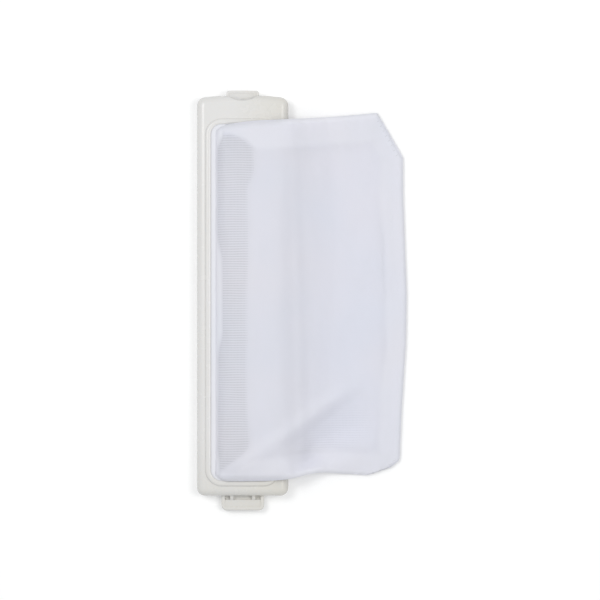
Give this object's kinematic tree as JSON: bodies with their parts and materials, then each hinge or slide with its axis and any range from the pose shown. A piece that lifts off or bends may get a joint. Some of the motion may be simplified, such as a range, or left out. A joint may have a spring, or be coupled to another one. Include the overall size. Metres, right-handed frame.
{
  "type": "washing machine lint filter",
  "caption": "Long narrow plastic frame with a rounded bead round its mouth, a fixed tongue, a spring latch and a fine mesh bag folded to one side; catches lint in a washing machine.",
  "frame": {"origin": "middle of the frame's back plane, where the filter seats on the port of the tub's wall", "axes": "+X across the frame towards the folded bag, +Y along the frame towards the latch, +Z out of the frame's face; the filter lies on its back on z = 0"},
  "size_m": [0.0902, 0.1803, 0.0163],
  "materials": {
    "frame_plastic": "satin",
    "ring_plastic": "satin",
    "bag_mesh": "matte"
  },
  "bodies": {
    "filter": {"frame": "frame_plastic", "clamp_ring": "ring_plastic", "bag_front": "bag_mesh", "bag_back": "bag_mesh"},
    "latch": {"latch": "frame_plastic"}
  },
  "joints": [
    {"name": "latch_press", "type": "hinge", "parent": "filter", "child": "latch", "pos_m": [0, 0.08495, 0.0018], "axis": [1, 0, 0], "range_deg": [0, 15], "stiffness_Nm_per_rad": 0.06}
  ]
}
